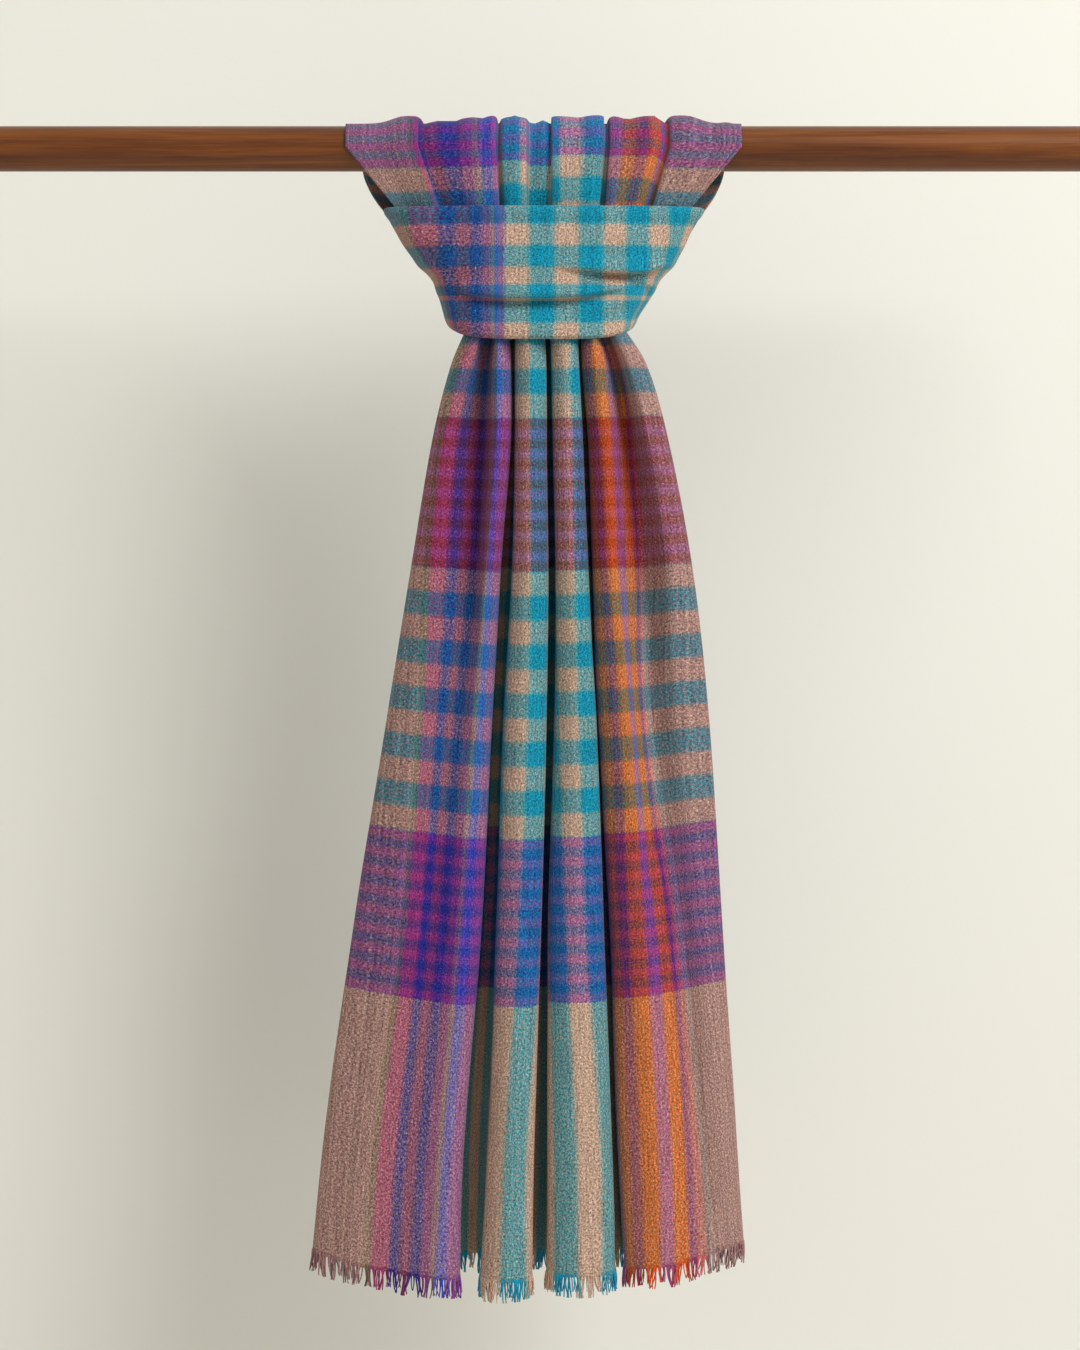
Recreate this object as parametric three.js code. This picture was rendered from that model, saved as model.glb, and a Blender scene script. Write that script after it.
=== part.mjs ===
// Checked pashmina shawl tied on a round wooden rod.
// Millimetres, +Z up, the front faces -Y. The origin is on the rod's axis, at the middle of the cloth.
// The doubled shawl goes over the rod, its bight is brought forward below the rod as a band,
// and both ends hang down through it. The cloth is a wall that follows tables of folds.

import * as THREE from "three";

// Rod
const rodRadius = 17;
const rodLength = 880;
const rodChamfer = 1.5;
const rodSides = 40;

// Cloth
const wall = 1.4; // thickness of the cloth's wall
const seam = 0.3; // gap between neighbouring stretches of the same cloth
const rodClearance = 0.3; // between the rod and the cloth on it
const leastRise = wall + 0.1; // lowest height of the cloth's face above its base line

// Fringe
const fringeStrip = 3; // height of the backing strip
const fringeSeam = 0.5; // between the hem and the strip, a little more than at other seams as the hem curves
const fringeLength = 17;
const fringeSpread = 2.2; // sideways play of a strand's tip
const tipWidth = 0.9;
const frontStrands = 76;
const backStrands = 44;

// Heights of the front tail's measured sections, from under the band down to the hem
const tailLevels = [-132, -163, -219, -308, -413, -577, -733, -823];
const tailFront = [-33, -36, -38, -40, -41, -43, -44, -46]; // face of the foremost folds
const tailBack = [5.6, 6, 8, 9, 10, 11, 11, 11]; // face at the bottom of the deepest folds
const tailTop = -132;
const tailBottom = -823;

// One row for each fold of the front cloth, left to right. x is across at each tail level, depth is 0 at
// the front line and 1 at the back line, drop is how much lower the hem hangs there, and lip and rod
// give x and the height above the base line where the cloth passes the band's lip and lies on the rod.
const frontFolds = [
  { name: "leftTuck", x: [-40, -50, -63, -75, -93, -120, -150, -166], depth: [0.9, 0.95, 1, 1, 0.9, 0.8, 0.65, 0.5],
    drop: 2, lip: [-110, 1.5], rod: [-148, 1.5] },
  { name: "leftEdge", x: [-47, -63, -82, -98, -115, -141, -163, -172], depth: 0.4,
    drop: 0, lip: [-102, 2.6], rod: [-125, 2] },
  { name: "leftCrest", x: [-40, -53, -73, -83, -93, -111, -135, -144], depth: [0.14, 0.08, 0.08, 0.08, 0.08, 0.08, 0.08, 0.08],
    drop: 8, lip: [-88, 7.8], rod: [-96, 6.5] },
  { name: "leftDip", x: [-37, -44, -47, -52, -66, -85, -103, -113], depth: [0.6, 0.66, 0.62, 0.46, 0.26, 0.15, 0.14, 0.14],
    drop: 14, lip: [-71, 1.6], rod: [-83, 1.6] },
  { name: "innerCrest", x: [-33, -34, -35, -42, -49, -61, -71, -77], depth: 0.03,
    drop: 19, lip: [-55, 9.8], rod: [-61, 5.5] },
  { name: "innerEdge", x: [-26, -24.5, -25, -32, -38, -47, -60, -63], depth: 0.2,
    drop: 19, lip: [-35, 9.8], rod: [-37, 6.6] },
  { name: "valleyOneLeft", x: [-28, -27, -28, -35, -41, -50, -61, -63], depth: 1,
    drop: 6, lip: [-31.5, 1.7], rod: [-32, 1.7] },
  { name: "valleyOneRight", x: [-19, -18, -18, -22, -27, -32, -41, -43], depth: 1,
    drop: 6, lip: [-29.5, 1.7], rod: [-30, 1.7] },
  { name: "panelOneLeft", x: [-21, -21, -21, -23, -29, -35, -41, -47], depth: 0.2,
    drop: 20, lip: [-27.5, 7.2], rod: [-28, 4.5] },
  { name: "panelOneMiddle", x: [-10, -10, -10, -11, -13, -19, -25, -29], depth: 0,
    drop: 21, lip: [-21, 10.4], rod: [-22, 6.3] },
  { name: "panelOneRight", x: [0, 1.5, 2, 3, 2, -3, -8, -10], depth: 0.2,
    drop: 20, lip: [-13, 8.5], rod: [-14, 5] },
  { name: "valleyTwoLeft", x: [-2, -1, -1, 0, -2, -6, -9, -11], depth: 1,
    drop: 5, lip: [-9, 1.7], rod: [-9, 1.7] },
  { name: "valleyTwoRight", x: [8, 9, 10, 12, 12, 9, 8, 6], depth: 1,
    drop: 5, lip: [1, 2.2], rod: [2.5, 2] },
  { name: "panelTwoLeft", x: [5, 6, 7, 9, 9, 4, 4, 4], depth: 0.2,
    drop: 16, lip: [6, 8.5], rod: [6.5, 5.5] },
  { name: "panelTwoMiddle", x: [15, 17, 18, 21, 24, 25, 27, 29], depth: 0,
    drop: 17, lip: [21, 11.7], rod: [22, 6.6] },
  { name: "panelTwoRight", x: [25, 26, 29, 33, 38, 44, 50, 52], depth: 0.18,
    drop: 15, lip: [40, 10.4], rod: [43.5, 6.8] },
  { name: "valleyThreeLeft", x: [22, 23, 26, 29, 34, 41, 47, 49], depth: 1,
    drop: 3, lip: [44, 1.7], rod: [48.5, 1.7] },
  { name: "valleyThreeRight", x: [31, 32, 37, 40, 44, 53, 59, 64], depth: 1,
    drop: 3, lip: [46, 1.7], rod: [50.5, 1.7] },
  { name: "orangeLeft", x: [28, 29, 34, 37, 41, 50, 56, 61], depth: 0.22,
    drop: 12, lip: [49, 6.5], rod: [54, 4] },
  { name: "orangeCrest", x: [36, 41, 47, 51, 61, 72, 82, 87], depth: 0.03,
    drop: 10, lip: [72, 10.4], rod: [78, 6.2] },
  { name: "rightDip", x: [41, 53, 64, 73, 79, 90, 105, 109], depth: [0.6, 0.72, 0.74, 0.64, 0.44, 0.25, 0.15, 0.12],
    drop: 6, lip: [84, 1.7], rod: [94, 1.7] },
  { name: "rightCrest", x: [44, 60, 77, 93, 100, 115, 126, 131], depth: [0.2, 0.12, 0.1, 0.1, 0.1, 0.1, 0.1, 0.1],
    drop: -2, lip: [93, 7.8], rod: [108, 4.6] },
  { name: "rightEdge", x: [50, 70, 88, 106, 121, 133, 143, 149], depth: 0.42,
    drop: -6, lip: [102, 2.6], rod: [128, 2.2] },
  { name: "rightTuck", x: [43, 58, 74, 91, 107, 121, 134, 144], depth: [0.9, 0.95, 1, 1, 0.9, 0.8, 0.65, 0.5],
    drop: -6, lip: [110, 1.5], rod: [148, 1.5] },
];

// Heights of the back tail's sections, its front and back lines, and one row for each of its folds
const backLevels = [-34, -96, -140, -219, -413, -615, -809];
const backFrontLine = [-10.5, 5, 12.5, 15.5, 17, 18, 19];
const backBackLine = [-4.5, 12, 26, 38, 44, 47, 50];
const backTop = -34;
const backBottom = -809;
const backFolds = [
  { name: "leftTuck", x: [-74, -56, -42, -62, -92, -120, -148], depth: 0.1, drop: 4 },
  { name: "leftEdge", x: [-79, -61, -48.5, -74, -106, -133, -160], depth: 0.5, drop: 2 },
  { name: "ridgeOne", x: [-69, -51, -44, -65, -94, -118, -140], depth: 0.95, drop: 6 },
  { name: "grooveOne", x: [-53, -40, -34, -50, -72, -92, -108], depth: 0.1, drop: 9 },
  { name: "ridgeTwo", x: [-40, -30, -26, -36, -52, -66, -78], depth: 1, drop: 12 },
  { name: "grooveTwo", x: [-26, -20, -17, -22, -32, -42, -50], depth: 0, drop: 10 },
  { name: "ridgeThree", x: [-11, -8, -8, -9, -13, -17, -22], depth: 0.92, drop: 15 },
  { name: "grooveThree", x: [3, 2, 1, 4, 6, 7, 8], depth: 0.06, drop: 11 },
  { name: "ridgeFour", x: [17, 13, 10, 17, 24, 30, 36], depth: 1, drop: 14 },
  { name: "grooveFour", x: [33, 24, 19, 31, 43, 53, 62], depth: 0, drop: 9 },
  { name: "ridgeFive", x: [48, 35, 29, 45, 63, 77, 88], depth: 0.96, drop: 10 },
  { name: "grooveFive", x: [60, 45, 38, 58, 82, 99, 113], depth: 0.12, drop: 6 },
  { name: "rightEdge", x: [76, 59, 52, 72, 101, 121, 138], depth: 0.55, drop: 2 },
  { name: "rightTuck", x: [71, 54, 44, 62, 88, 108, 126], depth: 0.12, drop: 4 },
];

// The band's outline from the front, its middle line and half depth at each height
const bandLevels = [-46, -64, -85, -98, -112, -127, -143];
const bandLeft = [-119, -110, -96, -84, -78, -73, -68];
const bandRight = [120, 110, 99, 88, 80, 70, 66];
const bandMiddle = [-8, -7, -5, -4, -2, 0, 0];
const bandDepth = [27, 31, 35, 37, 38, 40, 42];
const bandPower = 2.6; // 2 is an ellipse, more is squarer
const bandArc = 92; // degrees from the front round to each end
const bandEndRise = 11; // how much higher the lower edge is at each end
const bandRiseFrom = -108; // the rise starts below this height

// The band's section from the inner side of its lip, over and down the face, and under the lower edge
const bandSection = [
  { z: -56, offset: -4.2 },
  { z: -50, offset: -4.2 },
  { z: -46.3, offset: -3.2 },
  { z: -46, offset: -1.2 },
  { z: -49, offset: 0 },
  { z: -58, offset: 0.2 },
  { z: -70, offset: 0 },
  { z: -82, offset: -0.4 },
  { z: -89, offset: 0 },
  { z: -94, offset: 0 },
  { z: -99, offset: 0.5 },
  { z: -107, offset: 0.6 },
  { z: -112, offset: 0 },
  { z: -118, offset: 0.6 },
  { z: -130, offset: 0.2 },
  { z: -140, offset: 0 },
  { z: -143.5, offset: -1.2 },
  { z: -144.2, offset: -2.6 },
];

// Creases pulled across the band: middle and half length in degrees round it, height, rise and depth
const bandCreases = [
  { at: 24, reach: 34, z: -94, lift: 1.5, half: 4.5, depth: 4.2 },
  { at: -6, reach: 46, z: -112, lift: -3, half: 5, depth: 3.8 },
  { at: 22, reach: 26, z: -103, lift: 3, half: 5, depth: -2.4 },
];

// How each leg leaves the band's end and meets the back of the cloth on the rod, top edge then lower edge
const legStart = { top: new THREE.Vector3(-12, 22, 8), low: new THREE.Vector3(6, 95, 10) };
const legFinish = { top: new THREE.Vector3(-4, 2, 40), low: new THREE.Vector3(46, -16, 90) };
const legMiddle = 6; // half the parting between the two legs on the rod
const legSeam = 0.5; // between a leg and the band's end, a little more as the band's end curves
const backEdge = -14; // height at which the cloth on the rod ends behind it
const backGather = 0.08; // share by which that edge is narrower than the cloth on top

const rodWood = new THREE.MeshStandardMaterial({ color: 0x6a3320, roughness: 0.42, metalness: 0 });
const overRodCloth = new THREE.MeshStandardMaterial({ color: 0x7c4f8e, roughness: 0.92, metalness: 0 });
const bandCloth = new THREE.MeshStandardMaterial({ color: 0x3f9aa6, roughness: 0.92, metalness: 0 });
const legCloth = new THREE.MeshStandardMaterial({ color: 0x8b7fa0, roughness: 0.92, metalness: 0 });
const frontCloth = new THREE.MeshStandardMaterial({ color: 0xb0607a, roughness: 0.92, metalness: 0 });
const backCloth = new THREE.MeshStandardMaterial({ color: 0x9c8478, roughness: 0.92, metalness: 0 });
const fringeYarn = new THREE.MeshStandardMaterial({ color: 0xc07048, roughness: 0.95, metalness: 0 });

// Smooth value between the entries of a short table
function smooth(knots, values, at) {
  const last = knots.length - 1;
  const up = knots[last] > knots[0] ? 1 : -1;
  let i = 0;
  while (i < last - 1 && (at - knots[i + 1]) * up > 0) i += 1;
  const slope = (k) => {
    const a = Math.max(k - 1, 0);
    const b = Math.min(k + 1, last);
    return (values[b] - values[a]) / (knots[b] - knots[a]);
  };
  const span = knots[i + 1] - knots[i];
  const t = Math.min(Math.max((at - knots[i]) / span, 0), 1);
  const bend = t * t * (3 - 2 * t);
  const start = t * (1 - t) * (1 - t) * span * slope(i);
  const end = t * t * (t - 1) * span * slope(i + 1);
  return values[i] * (1 - bend) + values[i + 1] * bend + start + end;
}

const mix = (a, b, t) => a + (b - a) * t;

// Even or uneven steps from one value to another
function steps(from, to, count, ease = 1) {
  return Array.from({ length: count + 1 }, (_, i) => mix(from, to, (i / count) ** ease));
}

// Points of a rounded curve through a row of fold points, a fixed number for each stretch
function foldCurve(points, perFold) {
  const curve = new THREE.CatmullRomCurve3(points, false, "centripetal");
  const count = (points.length - 1) * perFold;
  return Array.from({ length: count + 1 }, (_, i) => curve.getPoint(i / count));
}

// Closed wall behind a grid of face points. side is 1 or -1 and picks the side that the wall grows to.
// flat names the axis that the wall's offset leaves out at the first row, the last row and the row ends,
// so that neighbours meet square at a seam.
function wallGeometry(rows, side, flat = {}) {
  const height = rows.length;
  const width = rows[0].length;
  const back = rows.map((row, j) => row.map((point, i) => {
    const across = rows[j][Math.min(i + 1, width - 1)].clone().sub(rows[j][Math.max(i - 1, 0)]);
    const along = rows[Math.min(j + 1, height - 1)][i].clone().sub(rows[Math.max(j - 1, 0)][i]);
    const normal = across.cross(along);
    if (flat.first && j === 0) normal[flat.first] = 0;
    if (flat.last && j === height - 1) normal[flat.last] = 0;
    if (flat.ends && (i === 0 || i === width - 1)) normal[flat.ends] = 0;
    return point.clone().addScaledVector(normal.normalize(), side * wall);
  }));
  const position = [...rows.flat(), ...back.flat()].flatMap((p) => [p.x, p.y, p.z]);
  const index = [];
  const face = (j, i) => j * width + i;
  const rear = (j, i) => height * width + j * width + i;
  const quad = (a, b, c, d) => {
    if (side > 0) index.push(a, c, b, a, d, c);
    else index.push(a, b, c, a, c, d);
  };
  for (let j = 0; j < height - 1; j += 1) {
    for (let i = 0; i < width - 1; i += 1) {
      quad(face(j, i), face(j, i + 1), face(j + 1, i + 1), face(j + 1, i));
      quad(rear(j, i), rear(j + 1, i), rear(j + 1, i + 1), rear(j, i + 1));
    }
    quad(face(j, 0), face(j + 1, 0), rear(j + 1, 0), rear(j, 0));
    quad(face(j + 1, width - 1), face(j, width - 1), rear(j, width - 1), rear(j + 1, width - 1));
  }
  for (let i = 0; i < width - 1; i += 1) {
    quad(face(0, i + 1), face(0, i), rear(0, i), rear(0, i + 1));
    quad(face(height - 1, i), face(height - 1, i + 1), rear(height - 1, i + 1), rear(height - 1, i));
  }
  const geometry = new THREE.BufferGeometry();
  geometry.setAttribute("position", new THREE.Float32BufferAttribute(position, 3));
  geometry.setIndex(index);
  geometry.computeVertexNormals();
  return geometry;
}

const valueAt = (levels, entry, z) => (Array.isArray(entry) ? smooth(levels, entry, z) : entry);

// Front tail: one row of face points at a height
function frontRow(z, lower = 0) {
  const front = smooth(tailLevels, tailFront, z);
  const back = smooth(tailLevels, tailBack, z);
  const fall = (tailTop - z) / (tailTop - tailBottom);
  const points = frontFolds.map((fold) => new THREE.Vector3(
    smooth(tailLevels, fold.x, z),
    mix(front, back, valueAt(tailLevels, fold.depth, z)),
    z - fold.drop * fall - lower,
  ));
  return foldCurve(points, 3);
}

// Back tail: the same, with its face to the rear
function backRow(z, lower = 0) {
  const front = smooth(backLevels, backFrontLine, z);
  const back = smooth(backLevels, backBackLine, z);
  const fall = (backTop - z) / (backTop - backBottom);
  const points = backFolds.map((fold) => new THREE.Vector3(
    smooth(backLevels, fold.x, z),
    mix(front, back, valueAt(backLevels, fold.depth, z)),
    z - fold.drop * fall - lower,
  ));
  return foldCurve(points, 3);
}

// Base line of the cloth over the rod: up from the band, round the rod's front, top and back
const clothRadius = rodRadius + rodClearance;
const lipHeight = -46;
const lipBase = -14;
function rodPath() {
  const path = [];
  const risers = [tailTop + seam, -114, -92, -68, lipHeight, -28, -12];
  for (const z of risers) {
    const rise = (z - tailTop) / (lipHeight - tailTop);
    const y = z < lipHeight
      ? mix(tailBack[0] + leastRise, lipBase, rise)
      : mix(lipBase, -clothRadius, (z - lipHeight) / (-12 - lipHeight));
    path.push({ y, z, ny: -1, nz: 0, rise: Math.min(rise, 1), onRod: Math.max(0, (z - lipHeight) / -lipHeight) });
  }
  for (const angle of steps(180, 0, 9)) {
    const a = THREE.MathUtils.degToRad(angle);
    const ny = Math.cos(a);
    const nz = Math.sin(a);
    path.push({ y: clothRadius * ny, z: clothRadius * nz, ny, nz, rise: 1, onRod: 1 });
  }
  path.push({ y: clothRadius, z: backEdge, ny: 1, nz: 0, rise: 1, onRod: 1 });
  return path;
}

function rodRow(place) {
  const front = tailFront[0];
  const back = tailBack[0];
  const points = frontFolds.map((fold) => {
    const tailRise = back + leastRise - mix(front, back, valueAt(tailLevels, fold.depth, tailTop));
    const narrowed = fold.rod[0] * (1 - backGather * Math.max(0, place.ny));
    const x = mix(mix(fold.x[0], fold.lip[0], place.rise ** 0.9), narrowed, place.onRod);
    const height = mix(mix(tailRise, fold.lip[1], place.rise), fold.rod[1], place.onRod);
    return new THREE.Vector3(x, Math.max(height, leastRise), 0);
  });
  return foldCurve(points, 2).map((p) => {
    const height = Math.max(p.y, leastRise);
    return new THREE.Vector3(p.x, place.y + place.ny * height, place.z + place.nz * height);
  });
}

// Band round the front of the bundle
function bandPoint(degrees, level, offset) {
  const low = Math.max(0, (level - bandRiseFrom) / (bandLevels.at(-1) - bandRiseFrom));
  const z = level + bandEndRise * low * Math.abs(degrees / bandArc) ** 2.5;
  const left = smooth(bandLevels, bandLeft, z);
  const right = smooth(bandLevels, bandRight, z);
  const middle = smooth(bandLevels, bandMiddle, z);
  const depth = smooth(bandLevels, bandDepth, z);
  const a = THREE.MathUtils.degToRad(degrees);
  const half = (right - left) / 2;
  const sine = Math.sin(a);
  const cosine = Math.cos(a);
  const power = 2 / bandPower;
  const x = (left + right) / 2 + (half + offset) * Math.sign(sine) * Math.abs(sine) ** power;
  const y = middle - (depth + offset) * Math.sign(cosine) * Math.abs(cosine) ** power;
  return new THREE.Vector3(x, y, z);
}

function creaseAt(degrees, z) {
  let depth = 0;
  for (const crease of bandCreases) {
    const along = (degrees - crease.at) / crease.reach;
    const across = (z - crease.z - crease.lift * along) / crease.half;
    if (Math.abs(along) < 1) depth += crease.depth * Math.cos(along * Math.PI / 2) ** 2 * Math.exp(-across * across);
  }
  return depth;
}

const bandColumns = 30;
function bandRows() {
  return bandSection.map(({ z, offset }) => steps(-bandArc, bandArc, bandColumns)
    .map((degrees) => bandPoint(degrees, z, offset - creaseAt(degrees, z))));
}

// Leg: from the band's end round behind the bundle and up to the back edge of the cloth on the rod
const legRows = 9;
function legGrid(sign) {
  const place = rodPath().at(-1);
  const edge = rodRow({ ...place, z: place.z - seam }).filter((p) => p.x * sign > legMiddle);
  if (sign > 0) edge.reverse();
  const faces = bandSection.filter(({ offset }) => offset > -1);
  const topZ = faces[0].z;
  const lowZ = faces.at(-1).z;
  const grid = steps(0, 1, legRows).map((v) => edge.map((target, k) => {
    const w = k / (edge.length - 1);
    const z = mix(topZ, lowZ, w);
    const from = bandPoint(sign * bandArc, z, 0);
    from.y += legSeam;
    const leave = legStart.top.clone().lerp(legStart.low, w);
    const arrive = legFinish.top.clone().lerp(legFinish.low, w);
    if (sign > 0) {
      leave.x *= -1;
      arrive.x *= -1;
    }
    const h = [2 * v ** 3 - 3 * v ** 2 + 1, v ** 3 - 2 * v ** 2 + v, -2 * v ** 3 + 3 * v ** 2, v ** 3 - v ** 2];
    return from.clone().multiplyScalar(h[0]).addScaledVector(leave, h[1])
      .addScaledVector(target, h[2]).addScaledVector(arrive, h[3]);
  }));
  return grid;
}

// Fringe: a strip below the hem with strands fused along its lower edge
function fringeGeometry(rowAt, bottom, strands, side) {
  const hem = new THREE.CatmullRomCurve3(rowAt(bottom, fringeSeam), false, "centripetal");
  hem.arcLengthDivisions = 2000;
  const count = strands * 2;
  const line = hem.getSpacedPoints(count);
  const position = [];
  const index = [];
  const add = (p) => position.push(p.x, p.y, p.z) / 3 - 1;
  const quad = (a, b, c, d) => {
    if (side > 0) index.push(a, c, b, a, d, c);
    else index.push(a, b, c, a, c, d);
  };
  const down = new THREE.Vector3(0, 0, -1);
  const rings = line.map((point, i) => {
    const across = line[Math.min(i + 1, count)].clone().sub(line[Math.max(i - 1, 0)]);
    const normal = across.cross(down).normalize().multiplyScalar(side * wall);
    const low = point.clone().addScaledVector(down, fringeStrip);
    return { top: add(point), topBack: add(point.clone().add(normal)), low: add(low),
      lowBack: add(low.clone().add(normal)), lowPoint: low, normal };
  });
  for (let i = 0; i < count; i += 1) {
    const a = rings[i];
    const b = rings[i + 1];
    quad(a.top, b.top, b.low, a.low);
    quad(a.topBack, a.lowBack, b.lowBack, b.topBack);
    quad(b.top, a.top, a.topBack, b.topBack);
    if (i % 2 === 1) {
      quad(a.low, b.low, b.lowBack, a.lowBack);
      continue;
    }
    const sway = fringeSpread * Math.sin(i * 2.3) * Math.cos(i * 0.71);
    const length = fringeLength * (0.88 + 0.12 * Math.sin(i * 1.7));
    const across = b.lowPoint.clone().sub(a.lowPoint).normalize();
    const tip = a.lowPoint.clone().add(b.lowPoint).multiplyScalar(0.5).addScaledVector(a.normal, 0.5)
      .addScaledVector(across, sway).addScaledVector(down, length);
    const tipA = add(tip.clone().addScaledVector(across, -tipWidth / 2));
    const tipB = add(tip.clone().addScaledVector(across, tipWidth / 2));
    quad(a.low, b.low, tipB, tipA);
    quad(a.lowBack, tipA, tipB, b.lowBack);
    if (side > 0) index.push(a.low, a.lowBack, tipA, b.low, tipB, b.lowBack);
    else index.push(a.low, tipA, a.lowBack, b.low, b.lowBack, tipB);
  }
  const first = rings[0];
  const last = rings[count];
  quad(first.top, first.low, first.lowBack, first.topBack);
  quad(last.low, last.top, last.topBack, last.lowBack);
  const geometry = new THREE.BufferGeometry();
  geometry.setAttribute("position", new THREE.Float32BufferAttribute(position, 3));
  geometry.setIndex(index);
  geometry.computeVertexNormals();
  return geometry;
}

function rodGeometry() {
  const half = rodLength / 2;
  const profile = [
    new THREE.Vector2(0, -half),
    new THREE.Vector2(rodRadius - rodChamfer, -half),
    new THREE.Vector2(rodRadius, -half + rodChamfer),
    new THREE.Vector2(rodRadius, half - rodChamfer),
    new THREE.Vector2(rodRadius - rodChamfer, half),
    new THREE.Vector2(0, half),
  ];
  return new THREE.LatheGeometry(profile, rodSides);
}

const shawl = new THREE.Group();

function addPiece(name, geometry, material) {
  const piece = new THREE.Mesh(geometry, material);
  piece.name = name;
  shawl.add(piece);
  return piece;
}

const tailRows = steps(tailTop, tailBottom, 12, 1.3);
const backRows = steps(backTop, backBottom, 10, 1.1);

const rod = addPiece("rod", rodGeometry(), rodWood);
rod.rotation.z = -Math.PI / 2;
addPiece("over_rod", wallGeometry(rodPath().map(rodRow), -1, { first: "z", last: "z" }), overRodCloth);
addPiece("knot_band", wallGeometry(bandRows(), 1, { ends: "y" }), bandCloth);
addPiece("leg_left", wallGeometry(legGrid(-1), 1, { first: "y", last: "z" }), legCloth);
addPiece("leg_right", wallGeometry(legGrid(1), -1, { first: "y", last: "z" }), legCloth);
addPiece("front_tail", wallGeometry(tailRows.map((z) => frontRow(z)), 1, { first: "z", last: "z" }), frontCloth);
addPiece("back_tail", wallGeometry(backRows.map((z) => backRow(z)), -1, { first: "z", last: "z" }), backCloth);
addPiece("front_fringe", fringeGeometry(frontRow, tailBottom, frontStrands, 1), fringeYarn);
addPiece("back_fringe", fringeGeometry(backRow, backBottom, backStrands, -1), fringeYarn);

export default shawl;
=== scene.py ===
import math

import bpy
import numpy as np
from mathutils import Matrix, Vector


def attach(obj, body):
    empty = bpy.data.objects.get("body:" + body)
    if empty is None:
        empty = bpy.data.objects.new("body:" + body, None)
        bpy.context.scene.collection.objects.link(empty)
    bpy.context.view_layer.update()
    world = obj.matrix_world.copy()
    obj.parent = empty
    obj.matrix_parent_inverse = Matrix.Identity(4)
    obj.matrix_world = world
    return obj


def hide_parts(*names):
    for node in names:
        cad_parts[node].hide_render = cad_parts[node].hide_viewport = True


for leftover in ("Cube", "Light", "Camera"):
    if leftover in bpy.data.objects:
        bpy.data.objects.remove(bpy.data.objects[leftover])

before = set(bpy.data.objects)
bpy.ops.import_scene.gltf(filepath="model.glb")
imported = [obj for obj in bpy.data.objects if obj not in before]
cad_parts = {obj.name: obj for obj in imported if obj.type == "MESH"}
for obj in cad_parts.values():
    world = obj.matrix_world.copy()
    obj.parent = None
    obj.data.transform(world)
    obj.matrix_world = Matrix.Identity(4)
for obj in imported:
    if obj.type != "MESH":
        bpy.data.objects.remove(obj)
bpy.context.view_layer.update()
print("frame loaded")

mm = 0.001

# The whole shawl. Yarn colours are as seen, from 0 to 255.
shawl = {
    "width": 630.0,
    "length": 2070.0,
    "wall": 1.0,
    "yarns": {
        "plain": (148, 106, 106), "mulberry": (106, 70, 82), "oat": (122, 92, 106), "beige": (194, 162, 142),
        "teal": (4, 138, 170), "olive": (102, 88, 72), "magenta": (142, 46, 92),
        "cerise": (116, 44, 116), "blue": (32, 28, 122), "brightBlue": (58, 66, 176),
        "red": (114, 38, 88), "lilac": (132, 62, 142), "violet": (84, 46, 132),
        "mauve": (140, 72, 112), "rust": (182, 78, 26), "wine": (132, 46, 70),
        "orange": (212, 84, 10), "pink": (158, 70, 120), "purple": (132, 50, 104),
        "coral": (204, 102, 98), "slate": (156, 130, 132), "fibre": (216, 200, 190),
        "weftPurple": (138, 48, 150), "weftBlue": (26, 46, 148), "weftSlate": (44, 84, 152),
        "weftViolet": (146, 68, 142), "weftBrick": (122, 38, 48),
    },
    # warp stripes from the left selvage: the yarn and where it starts
    "warp": [
        ("plain", 0), ("olive", 46.2), ("magenta", 49.9), ("blue", 61.8), ("red", 69.2),
        ("blue", 76.6), ("cerise", 84.4), ("oat", 91.6), ("brightBlue", 97), ("lilac", 104.8),
        ("violet", 114), ("check", 117), ("mauve", 511.1), ("rust", 524.5), ("wine", 532.7),
        ("orange", 540.9), ("pink", 552), ("orange", 562.5), ("purple", 571.4), ("coral", 575.9),
        ("slate", 581.8), ("plain", 588.5),
    ],
    "checkStart": 117.0,
    "checkColumn": 17.135,
    "stripeBlur": 1.0,
    "softEdge": 0.1,
    # the colours lie about this middle, with the coloured borders and the plain edges at these distances
    "middle": 317.4,
    "colouredFrom": 198.0,
    "plainFrom": 271.0,
    # weft zones from either hem to the middle: from, to, rows, the yarn of odd rows and of even rows
    "weft": [
        (198, 318, 17, "weftPurple", "weftBlue"),
        (318, 511, 11, "beige", "teal"),
        (511, 621.5, 15, "weftBrick", "weftViolet"),
        (621.5, 819, 11, "beige", "teal"),
        (819, 885, 9, "weftPurple", "weftSlate"),
        (885, 1185, 17, "beige", "teal"),
    ],
}


# Smooth value between the entries of a short table, the same rule that the solids follow
def smoothAt(knots, values, at):
    if np.isscalar(values):
        return values
    last = len(knots) - 1
    up = 1 if knots[last] > knots[0] else -1
    i = 0
    while i < last - 1 and (at - knots[i + 1]) * up > 0:
        i += 1

    def slope(k):
        a, b = max(k - 1, 0), min(k + 1, last)
        return (values[b] - values[a]) / (knots[b] - knots[a])

    span = knots[i + 1] - knots[i]
    t = min(max((at - knots[i]) / span, 0), 1)
    bend = t * t * (3 - 2 * t)
    return (values[i] * (1 - bend) + values[i + 1] * bend
            + t * (1 - t) ** 2 * span * slope(i) + t * t * (t - 1) * span * slope(i + 1))


def blend(a, b, t):
    return a + (b - a) * t


def ease(x, start, end):
    t = np.clip((x - start) / (end - start), 0, 1)
    return t * t * (3 - 2 * t)


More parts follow.
